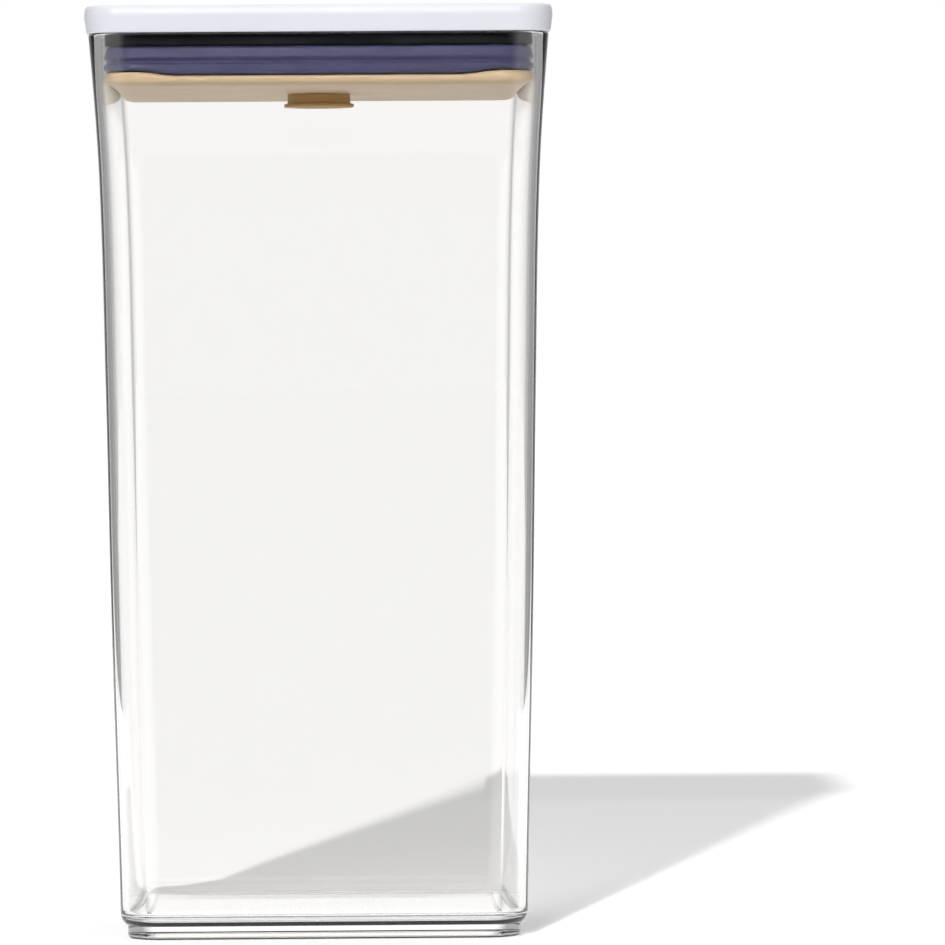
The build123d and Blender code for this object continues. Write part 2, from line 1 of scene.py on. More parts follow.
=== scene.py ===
"""Looks of the square food canister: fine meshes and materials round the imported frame, in metres.

Every outline below is a list of (distance from the middle, height, fillet radius) in millimetres.
loft_outline() turns it into rings of a rounded square, which turn into circles near the middle.
"""

import json
import math

import bmesh
import bpy
import numpy as np
from mathutils import Matrix, Vector


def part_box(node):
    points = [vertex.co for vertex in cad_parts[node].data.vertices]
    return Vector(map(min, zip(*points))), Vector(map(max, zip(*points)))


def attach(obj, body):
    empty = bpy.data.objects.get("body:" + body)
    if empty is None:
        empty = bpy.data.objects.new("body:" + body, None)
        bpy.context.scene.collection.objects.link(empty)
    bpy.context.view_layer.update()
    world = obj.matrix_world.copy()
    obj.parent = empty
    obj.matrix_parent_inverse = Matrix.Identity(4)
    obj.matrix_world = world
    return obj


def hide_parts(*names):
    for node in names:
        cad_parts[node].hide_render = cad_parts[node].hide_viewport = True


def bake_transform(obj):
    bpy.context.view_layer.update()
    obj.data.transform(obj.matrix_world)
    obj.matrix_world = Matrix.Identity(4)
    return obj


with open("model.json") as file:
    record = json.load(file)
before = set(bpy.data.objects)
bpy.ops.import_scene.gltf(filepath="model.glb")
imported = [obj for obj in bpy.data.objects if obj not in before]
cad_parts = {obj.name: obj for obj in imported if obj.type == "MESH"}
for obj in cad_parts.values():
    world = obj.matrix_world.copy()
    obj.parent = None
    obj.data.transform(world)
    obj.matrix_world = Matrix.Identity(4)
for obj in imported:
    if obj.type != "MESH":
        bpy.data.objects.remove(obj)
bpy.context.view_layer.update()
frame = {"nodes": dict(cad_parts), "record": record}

MM = 0.001
SIDE_STEPS, ARC_STEPS = 28, 14
FILLET_STEPS = 5
TYPICAL_CORNER = 0.16  # corner radius over half width, which spaces a circle's points
SMALLEST_CORNER, SMALLEST_SHARE = 3.0, 0.4  # of an inner ring: a length, and a share of its distance
NORMAL_WEIGHT = 60


# ---- mesh helpers ----


def smoothstep(low, high, value):
    """0 below low, 1 above high, and smooth between them."""
    t = np.clip((value - low) / (high - low), 0.0, 1.0)
    return t * t * (3.0 - 2.0 * t)


def square_points(half, corner):
    """Points round a rounded square, counter-clockwise from the foot of the +X side."""
    straight = half - corner
    points = []
    for quarter in range(4):
        turn = quarter * math.pi / 2
        c, s = math.cos(turn), math.sin(turn)
        side = [(half, t) for t in np.linspace(-straight, straight, SIDE_STEPS, endpoint=False)]
        arc = [
            (straight + corner * math.cos(a), straight + corner * math.sin(a))
            for a in np.linspace(0, math.pi / 2, ARC_STEPS, endpoint=False)
        ]
        points += [(x * c - y * s, x * s + y * c) for x, y in side + arc]
    return np.array(points)


def circle_points(radius):
    """Points round a circle, in the same directions as those of a typical rounded square."""
    guide = square_points(1.0, TYPICAL_CORNER)
    return radius * guide / np.linalg.norm(guide, axis=1)[:, None]


def fillet_outline(outline, closed):
    """The outline's (distance, height) points, with each corner rounded to its own radius."""
    rounded = []
    count = len(outline)
    for i, (x, z, radius) in enumerate(outline):
        here = np.array((x, z), float)
        if radius == 0 or (not closed and i in (0, count - 1)):
            rounded.append(here)
            continue
        before = np.array(outline[i - 1][:2], float) - here
        after = np.array(outline[(i + 1) % count][:2], float) - here
        before_length, after_length = np.linalg.norm(before), np.linalg.norm(after)
        before, after = before / before_length, after / after_length
        half_angle = math.acos(float(np.clip(before @ after, -1, 1))) / 2
        reach = min(radius / math.tan(half_angle), 0.49 * before_length, 0.49 * after_length)
        fitted = reach * math.tan(half_angle)
        middle = (before + after) / np.linalg.norm(before + after) * fitted / math.sin(half_angle)
        centre = here + middle
        start, end = here + before * reach - centre, here + after * reach - centre
        angle = math.atan2(start[0] * end[1] - start[1] * end[0], start @ end)
        for step in range(FILLET_STEPS + 1):
            a = angle * step / FILLET_STEPS
            c, s = math.cos(a), math.sin(a)
            rounded.append(centre + np.array((start[0] * c - start[1] * s, start[0] * s + start[1] * c)))
    return rounded


def loft_outline(name, outline, edge=None, closed=False, round_from=None, reshape=None):
    """A closed mesh swept round the middle from an outline.

    edge is None for a turned piece, or the (half width, corner radius) of the rounded square that all rings
    are offset from, or a function that gives that pair at a height. Rings nearer than round_from[0] are
    circles, and past round_from[1] they are squares.
    """
    profile = fillet_outline(outline, closed)
    rings = []
    for distance, height in profile:
        if edge is None:
            plan = circle_points(distance)
        else:
            half, corner = edge(height) if callable(edge) else edge
            smallest = min(SMALLEST_CORNER, distance * SMALLEST_SHARE)
            plan = square_points(distance, max(corner - (half - distance), smallest))
            if round_from is not None:
                square_share = float(smoothstep(round_from[0], round_from[1], distance))
                plan = square_share * plan + (1 - square_share) * circle_points(distance)
        heights = np.full(len(plan), float(height))
        rings.append(np.column_stack((plan, heights)))
    rings = np.array(rings)
    if reshape is not None:
        rings = reshape(rings)
    rings = rings * MM

    mesh = bmesh.new()
    rows = [[mesh.verts.new(p) for p in ring] for ring in rings]
    size = len(rows[0])
    pairs = list(zip(rows, rows[1:])) + ([(rows[-1], rows[0])] if closed else [])
    for lower, upper in pairs:
        for i in range(size):
            j = (i + 1) % size
            mesh.faces.new((lower[i], lower[j], upper[j], upper[i]))
    if not closed:
        mesh.faces.new(rows[0])
        mesh.faces.new(rows[-1])
    return to_object(name, mesh)


def to_object(name, mesh, smooth=True):
    """Makes an object from a bmesh, with its faces turned outwards and smooth shading by face area."""
    bmesh.ops.recalc_face_normals(mesh, faces=mesh.faces)
    data = bpy.data.meshes.new(name)
    mesh.to_mesh(data)
    mesh.free()
    for polygon in data.polygons:
        polygon.use_smooth = smooth
    made = bpy.data.objects.new(name, data)
    bpy.context.scene.collection.objects.link(made)
    if smooth:
        normals = made.modifiers.new("even shading", "WEIGHTED_NORMAL")
        normals.keep_sharp = True
        normals.weight = NORMAL_WEIGHT
    return made


def join(target, *others):
    """Joins meshes into one piece and keeps the target's name and modifiers."""
    mesh = bmesh.new()
    mesh.from_mesh(target.data)
    for other in others:
        mesh.from_mesh(other.data)
        bpy.data.objects.remove(other)
    mesh.to_mesh(target.data)
    mesh.free()
    for polygon in target.data.polygons:
        polygon.use_smooth = True
    return target


def rounded_block(name, low, high, bevel):
    """A block with bevelled edges between two corners, in millimetres."""
    mesh = bmesh.new()
    bmesh.ops.create_cube(mesh, size=1.0)
    low, high = Vector(low) * MM, Vector(high) * MM
    for vert in mesh.verts:
        vert.co = Vector((low[i] + (vert.co[i] + 0.5) * (high[i] - low[i]) for i in range(3)))
    bmesh.ops.bevel(mesh, geom=mesh.edges[:], offset=bevel * MM, segments=3, profile=0.5, affect="EDGES")
    return to_object(name, mesh)


def four_of(name, outline, reach, closed=False):
    """Four turned shapes, at plus and minus reach in X and Y, in millimetres."""
    shapes = []
    for x in (-reach, reach):
        for y in (-reach, reach):
            shape = loft_outline(name, outline, closed=closed)
            shape.data.transform(Matrix.Translation((x * MM, y * MM, 0)))
            shapes.append(shape)
    return shapes


def follow_curve(points, height):
    """A smooth width at a height, through a list of (height, width) points."""
    heights = [p[0] for p in points]
    widths = [p[1] for p in points]
    slopes = np.gradient(widths, heights)
    i = int(np.clip(np.searchsorted(heights, height) - 1, 0, len(points) - 2))
    rise = heights[i + 1] - heights[i]
    t = (height - heights[i]) / rise
    return (
        (2 * t**3 - 3 * t**2 + 1) * widths[i]
        + (t**3 - 2 * t**2 + t) * rise * slopes[i]
        + (3 * t**2 - 2 * t**3) * widths[i + 1]
        + (t**3 - t**2) * rise * slopes[i + 1]
    )


# ---- material helpers ----

PATTERN_LOW, PATTERN_HIGH = 0.3, 0.7  # the useful range of a noise pattern


def new_material(name):
    """A material with a Principled shader, and the shader and node tree to work on."""
    material = bpy.data.materials.new(name)
    material.use_nodes = True
    tree = material.node_tree
    shader = next(n for n in tree.nodes if n.type == "BSDF_PRINCIPLED")
    return material, tree, shader


def noise(tree, scale, detail=3.0, roughness=0.5, stretch=(1, 1, 1)):
    """A noise pattern in the object's own space, and its output socket."""
    place = tree.nodes.new("ShaderNodeTexCoord")
    mapping = tree.nodes.new("ShaderNodeMapping")
    mapping.inputs["Scale"].default_value = stretch
    pattern = tree.nodes.new("ShaderNodeTexNoise")
    pattern.inputs["Scale"].default_value = scale
    pattern.inputs["Detail"].default_value = detail
    pattern.inputs["Roughness"].default_value = roughness
    tree.links.new(place.outputs["Object"], mapping.inputs["Vector"])
    tree.links.new(mapping.outputs["Vector"], pattern.inputs["Vector"])
    return pattern.outputs["Fac"]


def span(tree, value, low, high, start=PATTERN_LOW, end=PATTERN_HIGH):
    """Maps a value's start..end to low..high, and holds it level beyond."""
    node = tree.nodes.new("ShaderNodeMapRange")
    node.inputs["From Min"].default_value = start
    node.inputs["From Max"].default_value = end
    node.inputs["To Min"].default_value = low
    node.inputs["To Max"].default_value = high
    tree.links.new(value, node.inputs["Value"])
    return node.outputs["Result"]


def two_colours(tree, value, first, second):
    """Blends two colours by a pattern."""
    ramp = tree.nodes.new("ShaderNodeValToRGB")
    for element, position, colour in zip(
        ramp.color_ramp.elements, (PATTERN_LOW, PATTERN_HIGH), (first, second)
    ):
        element.position = position
        element.color = (*colour, 1)
    tree.links.new(value, ramp.inputs["Fac"])
    return ramp.outputs["Color"]


def combine(tree, operation, *values):
    """The result of a math node on one or two values."""
    node = tree.nodes.new("ShaderNodeMath")
    node.operation = operation
    for value, socket in zip(values, node.inputs):
        tree.links.new(value, socket)
    return node.outputs["Value"]


def axes_of(tree, space):
    """The X, Y and Z of a point or of a direction, in a space of the texture coordinates."""
    place = tree.nodes.new("ShaderNodeTexCoord")
    split = tree.nodes.new("ShaderNodeSeparateXYZ")
    tree.links.new(place.outputs[space], split.inputs["Vector"])
    return split.outputs["X"], split.outputs["Y"], split.outputs["Z"]


def show_by_ray(tree, ray, usual, special):
    """Links the output to the special shader for one sort of ray, and to the usual shader for the rest."""
    path = tree.nodes.new("ShaderNodeLightPath")
    mix = tree.nodes.new("ShaderNodeMixShader")
    output = next(n for n in tree.nodes if n.type.startswith("OUTPUT"))
    tree.links.new(path.outputs[ray], mix.inputs["Fac"])
    tree.links.new(usual, mix.inputs[1])
    tree.links.new(special, mix.inputs[2])
    tree.links.new(mix.outputs["Shader"], output.inputs["Surface"])


def set_values(node, values):
    """Sets the values of a node's inputs by their names."""
    for name, value in values.items():
        node.inputs[name].default_value = value


def bump(tree, shader, value, distance, strength=1.0, under=None):
    """Adds a relief of a given depth, in metres, to a shader."""
    node = tree.nodes.new("ShaderNodeBump")
    node.inputs["Distance"].default_value = distance
    node.inputs["Strength"].default_value = strength
    tree.links.new(value, node.inputs["Height"])
    if under is not None:
        tree.links.new(under, node.inputs["Normal"])
    tree.links.new(node.outputs["Normal"], shader.inputs["Normal"])
    return node.outputs["Normal"]


def moulded_plastic(name, colour, shade, rough, grain=1800.0, depth=4e-6, glow=0.0, gloss=0.5):
    """Satin moulded plastic: a fine even grain, slight flow shading, and uneven gloss."""
    material, tree, shader = new_material(name)
    cloudy = noise(tree, scale=22.0, detail=2.0)
    tree.links.new(two_colours(tree, cloudy, shade, colour), shader.inputs["Base Color"])
    handled = noise(tree, scale=60.0, detail=4.0)
    tree.links.new(span(tree, handled, rough - 0.05, rough + 0.06), shader.inputs["Roughness"])
    waves = bump(tree, shader, noise(tree, scale=45.0, detail=1.0), distance=2.5e-5, strength=0.35)
    bump(tree, shader, noise(tree, grain, detail=2.0), depth, strength=0.6, under=waves)
    set_values(shader, {"IOR": 1.5, "Specular IOR Level": gloss})
    if glow:
        set_values(shader, {"Subsurface Weight": glow, "Subsurface Scale": 1.0})
        set_values(shader, {"Subsurface Radius": (0.004, 0.003, 0.002)})
    return material


def silicone(name, colour, shade, rough):
    """Soft silicone: satin skin with a faint bloom and very fine texture."""
    material, tree, shader = new_material(name)
    bloom = noise(tree, scale=35.0, detail=5.0)
    tree.links.new(two_colours(tree, bloom, shade, colour), shader.inputs["Base Color"])
    handled = noise(tree, scale=150.0, detail=4.0)
    tree.links.new(span(tree, handled, rough - 0.01, rough + 0.03), shader.inputs["Roughness"])
    bump(tree, shader, noise(tree, scale=2600.0, detail=2.0), distance=3e-6, strength=0.5)
    set_values(shader, {"Sheen Weight": 0.15, "Sheen Roughness": 0.5, "IOR": 1.43})
    return material


def formed_steel(name, colour, shade, rough):
    """Stainless steel with drawing lines and slight stains."""
    material, tree, shader = new_material(name)
    stains = noise(tree, scale=90.0, detail=4.0)
    tree.links.new(two_colours(tree, stains, shade, colour), shader.inputs["Base Color"])
    lines = noise(tree, scale=260.0, detail=3.0, roughness=0.6, stretch=(1, 14, 14))
    tree.links.new(span(tree, lines, rough - 0.08, rough + 0.12), shader.inputs["Roughness"])
    bump(tree, shader, lines, distance=3e-6, strength=0.5)
    set_values(shader, {"Metallic": 1.0})
    return material


def clear_plastic(name):
    """Clear copolyester: polished and very slightly wavy. Lamps shine through it."""
    material, tree, shader = new_material(name)
    set_values(shader, {"Transmission Weight": 1.0, "IOR": 1.54, "Roughness": 0.0})
    set_values(shader, {"Base Color": (0.985, 0.981, 0.975, 1)})
    waves = noise(tree, scale=16.0, detail=1.0, stretch=(1, 1, 0.5))
    bump(tree, shader, waves, distance=2.0e-5, strength=0.25)
    to_lamps = tree.nodes.new("ShaderNodeBsdfTransparent")
    to_lamps.inputs["Color"].default_value = (0.56, 0.56, 0.565, 1)
    show_by_ray(tree, "Is Shadow Ray", shader.outputs["BSDF"], to_lamps.outputs["BSDF"])
    return material


def dress(piece, material):
    """Gives a piece its material."""
    piece.data.materials.clear()
    piece.data.materials.append(material)


MATERIALS = {
    "clear_copolyester": clear_plastic("clear copolyester"),
    "white_abs": moulded_plastic("white cover", (0.885, 0.905, 0.96), (0.86, 0.88, 0.935), 0.38),
    "white_button": moulded_plastic("white button", (0.885, 0.905, 0.96), (0.865, 0.885, 0.94), 0.32),
    "black_abs": moulded_plastic(
        "black frame", (0.005, 0.005, 0.007), (0.003, 0.003, 0.005), 0.17, gloss=0.4
    ),
    "navy_silicone": silicone("navy silicone", (0.052, 0.051, 0.122), (0.045, 0.044, 0.106), 0.21),
    # the plate's warm tan is painted light bounced from the contents, laid over an ivory plastic
    "ivory_plastic": moulded_plastic(
        "ivory plate tinted by painted bounce light", (0.54, 0.405, 0.255), (0.51, 0.38, 0.235), 0.44, glow=0.05, gloss=0.35
    ),
    # the knob's dark tan is painted shade and painted light bounced from the contents
    "brown_plastic": moulded_plastic("knob tinted by painted shade and bounce light", (0.44, 0.27, 0.09), (0.40, 0.24, 0.08), 0.40, glow=0.05),
    "acetal": moulded_plastic("acetal", (0.84, 0.84, 0.80), (0.80, 0.80, 0.76), 0.36, glow=0.1),
    "grey_nylon": moulded_plastic(
        "grey nylon", (0.17, 0.175, 0.185), (0.13, 0.135, 0.145), 0.5, grain=1200.0, depth=8e-6
    ),
    "steel": formed_steel("stainless steel", (0.66, 0.655, 0.64), (0.55, 0.55, 0.54), 0.28),
    "seal_rubber": silicone("clear silicone", (0.72, 0.72, 0.69), (0.66, 0.66, 0.63), 0.38),
}


def finish_piece(piece, body, slot, node):
    """Puts a made piece on its body, in place of its CAD node, with its material."""
    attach(piece, body)
    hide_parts(node)
    dress(piece, MATERIALS[slot])
    return piece


def finish_stretched(piece, slot, node):
    """Puts a made piece in place of a CAD node, with its material, and bakes its placement into its mesh."""
    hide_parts(node)
    dress(piece, MATERIALS[slot])
    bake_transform(piece)


# ---- the jar ----

# (height, width across the flats) up the outside and the inside
OUTER_WALL = [
    (8.6, 140.0), (19.0, 140.4), (116.0, 145.1), (185.0, 147.4), (253.0, 150.3), (265.0, 151.2),
    (287.0, 153.9), (308.5, 157.3),
]
INNER_WALL = [
    (12.0, 134.8), (20.0, 135.2), (116.0, 139.8), (185.0, 142.1), (253.0, 144.8), (265.0, 145.7),
    (287.0, 148.2), (293.0, 148.95), (300.0, 149.2), (308.9, 149.2),
]
JAR_CORNER = 14.0
SHOULDER, SHOULDER_TURNS = 4.4, (30, 38, 48, 58, 68, 78)
FOOT_HALF, FOOT_TOP_Z, FOOT_EDGE = 67.5, 4.6, 1.8
RECESS_HALF, RECESS_Z, RECESS_EDGE = 60.0, 2.2, 0.9
FLOOR_HALF_WIDTH, FLOOR_Z, FLOOR_EDGE = 67.2, 8.0, 3.6
RIM_OUTER, RIM_INNER, RIM_EDGE = 78.75, 74.6, 0.7
POLE, HALF_WAY = 1.2, 30.0  # inner rings that keep the flat faces even
WALL_STEPS = 34


def wall_outline(wall):
    """Outline points up a smooth wall."""
    heights = np.linspace(wall[0][0], wall[-1][0], WALL_STEPS)
    return [(follow_curve(wall, z) / 2, z, 0) for z in heights]


def make_jar():
    """The clear jar: foot ring, round shoulder, tapered walls that flare to the mouth, and a thick floor."""
    rim_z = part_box("canister_body")[1].z / MM
    wall_z, wall_width = OUTER_WALL[0]
    outline = [(POLE, RECESS_Z, 0), (HALF_WAY, RECESS_Z, 0), (RECESS_HALF, RECESS_Z, RECESS_EDGE)]
    outline += [(RECESS_HALF + 0.8, 0.0, 0.8), (FOOT_HALF, 0.0, FOOT_EDGE), (FOOT_HALF, FOOT_TOP_Z, 0)]
    for turn in SHOULDER_TURNS:
        sweep = math.radians(turn)
        inwards = SHOULDER * (1 - math.sin(sweep))
        outline.append((wall_width / 2 - inwards, wall_z - SHOULDER * math.cos(sweep), 0))
    outline += wall_outline(OUTER_WALL)
    outline += [(RIM_OUTER, rim_z, RIM_EDGE), (RIM_INNER, rim_z, RIM_EDGE)]
    outline += reversed(wall_outline(INNER_WALL))
    outline += [(FLOOR_HALF_WIDTH, FLOOR_Z, FLOOR_EDGE), (HALF_WAY, FLOOR_Z, 0), (POLE, FLOOR_Z, 0)]

    def outside(height):
        return follow_curve(OUTER_WALL, max(height, wall_z)) / 2, JAR_CORNER

    jar = loft_outline("jar", outline, outside)
    finish_piece(jar, "canister", "clear_copolyester", "canister_body")


make_jar()


# ---- the lid's cover ----

LID_HALF, LID_CORNER, LID_TOP_Z = 80.0, 12.0, 319.5
DECK_Z, DECK_UNDER_Z, SKIRT_Z, BAND_Z = 318.7, 316.3, 310.2, 315.6
HOLE_R, COLLAR_R, COLLAR_Z = 31.5, 34.0, 311.3
COVER_ROUND = (36.0, 62.0)  # rings turn from round to square between these distances
SCREW_XY = 50.0
BOSS_R, BOSS_BORE, BOSS_Z = 4.0, 1.45, 303.2


def make_cover():
    """The white cover: a skirt with a band line, a low stacking rim, a flat deck and the button's collar."""
    outline = [(HOLE_R, COLLAR_Z, 0.4), (HOLE_R, DECK_Z, 0.7), (77.3, DECK_Z, 0.5), (77.7, LID_TOP_Z, 0.3)]
    outline += [(78.5, LID_TOP_Z, 0), (79.1, 319.35, 0), (79.55, 318.9, 0)]
    outline += [(79.8, 318.1, 0), (79.95, 317.0, 0), (LID_HALF, BAND_Z, 0)]
    outline += [(79.25, SKIRT_Z, 0.5), (77.0, SKIRT_Z, 0.4), (76.8, DECK_UNDER_Z, 0.6)]
    outline += [(COLLAR_R, DECK_UNDER_Z, 0.5), (COLLAR_R, COLLAR_Z, 0.4)]
    edge = (LID_HALF, LID_CORNER)
    cover = loft_outline("lid_cover_shell", outline, edge, closed=True, round_from=COVER_ROUND)
    boss_top = DECK_UNDER_Z + 0.1
    boss = [(BOSS_BORE, BOSS_Z, 0.2), (BOSS_R, BOSS_Z, 0.3), (BOSS_R, boss_top, 0), (BOSS_BORE, boss_top, 0)]
    join(cover, *four_of("boss", boss, SCREW_XY, closed=True))
    finish_piece(cover, "lid", "white_abs", "lid_cover")


make_cover()


# ---- the button ----

BUTTON_R, BUTTON_LIP_R, BUTTON_INNER_R = 31.0, 32.5, 29.2
DISH_Z, DISH_R, DISH_DEPTH = 317.6, 28.0, 0.75
BUTTON_UNDER_Z, LIP_Z, BUTTON_FOOT_Z = 316.5, 301.0, 299.5
NOTCH_HALF, NOTCH_TOP_Z = 4.7, 308.0
SPRING_XY = 15.6
SEAT_R, SEAT_Z = 1.8, 313.5
STAKE_XY = 14.2 / math.sqrt(2)
STAKE_R, STAKE_HEAD_R, STAKE_HEAD_Z, STAKE_Z = 1.2, 1.8, 314.2, 313.3
PIN_POLE = 0.3


def notched(piece):
    """Cuts a cross-shaped passage for the four rockers through the foot of the button."""
    far, foot, top = 40.0, 290.0, NOTCH_TOP_Z
    cutters = [
        rounded_block("cut", (-far, -NOTCH_HALF, foot), (far, NOTCH_HALF, top), 0.3),
        rounded_block("cut", (-NOTCH_HALF, -far, foot), (NOTCH_HALF, far, top), 0.3),
    ]
    for cutter in cutters:
        cut = piece.modifiers.new("notch", "BOOLEAN")
        cut.operation = "DIFFERENCE"
        cut.object = cutter
    shaped = piece.evaluated_get(bpy.context.evaluated_depsgraph_get())
    piece.data = bpy.data.meshes.new_from_object(shaped)
    for cutter in cutters:
        bpy.data.objects.remove(cutter)
    piece.modifiers.clear()
    piece.modifiers.new("even shading", "WEIGHTED_NORMAL").keep_sharp = True


def make_button():
    """The round button: a dished top with a soft edge, over a skirt notched for the four rockers."""
    outline = [(0.6, DISH_Z, 0)]
    outline += [(r, DISH_Z + DISH_DEPTH * (r / DISH_R) ** 2, 0) for r in (6, 12, 18, 23, 27)]
    outline += [(29.4, 318.48, 1.2), (30.95, 318.2, 0.8), (BUTTON_R, LIP_Z, 0.3)]
    outline += [(BUTTON_LIP_R, LIP_Z - 0.1, 0.3), (BUTTON_LIP_R, BUTTON_FOOT_Z, 0.3)]
    outline += [(BUTTON_INNER_R, BUTTON_FOOT_Z, 0.3)]
    outline += [(BUTTON_INNER_R, BUTTON_UNDER_Z, 0.8), (6.0, BUTTON_UNDER_Z, 0), (0.6, BUTTON_UNDER_Z, 0)]
    button = loft_outline("button_cap", outline)
    notched(button)
    top = BUTTON_UNDER_Z + 0.2
    seat = [(PIN_POLE, SEAT_Z, 0), (SEAT_R, SEAT_Z, 0.5), (SEAT_R, top, 0), (PIN_POLE, top, 0)]
    stake = [(PIN_POLE, STAKE_Z, 0), (STAKE_HEAD_R, STAKE_Z, 0.5), (STAKE_HEAD_R, STAKE_HEAD_Z, 0.2)]
    stake += [(STAKE_R, STAKE_HEAD_Z, 0), (STAKE_R, top, 0), (PIN_POLE, top, 0)]
    join(button, *four_of("seat", seat, SPRING_XY), *four_of("stake", stake, STAKE_XY))
    finish_piece(button, "button", "white_button", "push_button")


make_button()


# ---- gasket and plate ----

CORNER_START, CORNER_FULL = 49.5, 61.5  # where the corners of both begin to rise, and have risen
SEAL_CORNER = 11.5
GASKET_HALF, GASKET_INNER, GASKET_GROOVE = 73.95, 69.3, 72.9
GASKET_Z, GASKET_TOP_Z = 296.1, 305.9
GASKET_CORNER_RISE, PLATE_CORNER_RISE = 1.4, 1.35
PLATE_HALF, PLATE_TOP_Z = 73.7, 295.7
PANEL_HOLE, PANEL_Z, PANEL_TOP_Z = 7.0, 292.3, 293.6
PLATE_ROUND = (16.0, 60.0)


def corner_share(rings):
    """0 along the sides and 1 at the corners, for each point of a piece's rings."""
    nearest = np.minimum(np.abs(rings[:, :, 0]), np.abs(rings[:, :, 1]))
    return smoothstep(CORNER_START, CORNER_FULL, nearest)


def make_gasket():
    """The silicone seal: two round lobes with a groove between, cut short under each corner."""
    outline = [
        (GASKET_INNER, GASKET_Z + 0.1, 0.4), (73.3, GASKET_Z, 0.8), (GASKET_HALF, 297.2, 0.8),
        (73.85, 299.5, 0.8), (GASKET_GROOVE, 300.3, 0.5), (GASKET_GROOVE, 300.8, 0.5),
        (GASKET_HALF, 301.9, 1.0), (73.0, 305.3, 1.2), (72.0, GASKET_TOP_Z, 0.5),
        (GASKET_INNER, GASKET_TOP_Z, 0.4),
    ]

    def lift_corners(rings):
        low_part = 1.0 - smoothstep(GASKET_Z, 300.4, rings[:, :, 2])
        rings[:, :, 2] += GASKET_CORNER_RISE * corner_share(rings) * low_part
        return rings

    edge = (GASKET_HALF, SEAL_CORNER)
    gasket = loft_outline("gasket_ring", outline, edge, closed=True, reshape=lift_corners)
    finish_stretched(gasket, "navy_silicone", "gasket")


def make_plate():
    """The plate, ivory plastic tinted tan with painted bounce light: a flat panel inside a rounded rim,
    whose corners rise towards the gasket.
    """
    outline = [
        (PANEL_HOLE, PANEL_Z, 0.2), (PANEL_HOLE, PANEL_TOP_Z, 0.2), (67.6, PANEL_TOP_Z, 0.6),
        (68.3, PLATE_TOP_Z, 0.5), (72.5, PLATE_TOP_Z, 0), (73.1, 295.55, 0), (73.5, 295.2, 0),
        (PLATE_HALF, 294.75, 0), (73.6, 294.2, 0), (73.2, 293.7, 0), (72.5, 293.2, 0), (71.5, 292.8, 0),
        (70.3, 292.5, 0), (68.8, PANEL_Z, 0), (62.0, PANEL_Z, 0),
    ]

    def raise_corners(rings):
        distance = np.maximum(np.abs(rings[:, :, 0]), np.abs(rings[:, :, 1]))
        on_rim = smoothstep(293.8, 295.5, rings[:, :, 2]) * smoothstep(67.8, 69.0, distance)
        rings[:, :, 2] += PLATE_CORNER_RISE * corner_share(rings) * on_rim
        return rings

    edge = (PLATE_HALF, SEAL_CORNER)
    plate = loft_outline(
        "seal_plate", outline, edge, closed=True, round_from=PLATE_ROUND, reshape=raise_corners
    )
    return finish_piece(plate, "plate", "ivory_plastic", "lower_plate")


make_gasket()
plate = make_plate()


# ---- knob ----

KNOB_Z, KNOB_LIP_TOP_Z, KNOB_TOP_Z = 287.1, 288.4, 292.1
KNOB_LIP_R, KNOB_R, RECESS_R, FINGER_Z = 12.25, 11.0, 9.0, 289.1
SEAL_GROOVE_Z, SEAL_GROOVE_OUTER, SEAL_GROOVE_INNER = 290.6, 10.1, 8.3
KNOB_POST_R, EARS_Z, KNOB_POST_TOP_Z = 6.95, 294.8, 295.7


def make_knob():
    """The stepped knob: a lipped disc on a short stem, with a finger recess, a turning bar and a bayonet."""
    outline = [
        (0.4, FINGER_Z, 0), (RECESS_R, FINGER_Z, 0.5), (RECESS_R + 0.5, KNOB_Z, 0.35), (12.1, KNOB_Z, 0.4),
        (KNOB_LIP_R, KNOB_LIP_TOP_Z, 0.4), (KNOB_R, KNOB_LIP_TOP_Z + 0.3, 0.3), (10.95, KNOB_TOP_Z, 0.3),
        (SEAL_GROOVE_OUTER, KNOB_TOP_Z, 0.15), (SEAL_GROOVE_OUTER, SEAL_GROOVE_Z, 0.2),
        (SEAL_GROOVE_INNER, SEAL_GROOVE_Z, 0.2), (SEAL_GROOVE_INNER, KNOB_TOP_Z, 0.15),
        (KNOB_POST_R, KNOB_TOP_Z, 0.15), (KNOB_POST_R, KNOB_POST_TOP_Z, 0.3), (0.4, KNOB_POST_TOP_Z, 0),
    ]
    knob = loft_outline("hub_knob_shell", outline)
    bar = rounded_block("bar", (-9.3, -1.5, KNOB_Z + 0.1), (9.3, 1.5, FINGER_Z + 0.2), 0.4)
    ears = rounded_block("ears", (-9.5, -3.4, EARS_Z), (9.5, 3.4, KNOB_POST_TOP_Z), 0.2)
    join(knob, bar, ears)
    return finish_piece(knob, "knob", "brown_plastic", "hub_knob")


knob = make_knob()


# ---- springs ----

SPRING_LOW, SPRING_HIGH = 299.0, 316.05
COIL_R, WIRE_R, COIL_TURNS = 2.6, 0.4, 5
COIL_STEPS, WIRE_SIDES = 120, 10
FLATTENED_ENDS = 0.12  # the end coils lie nearly flat


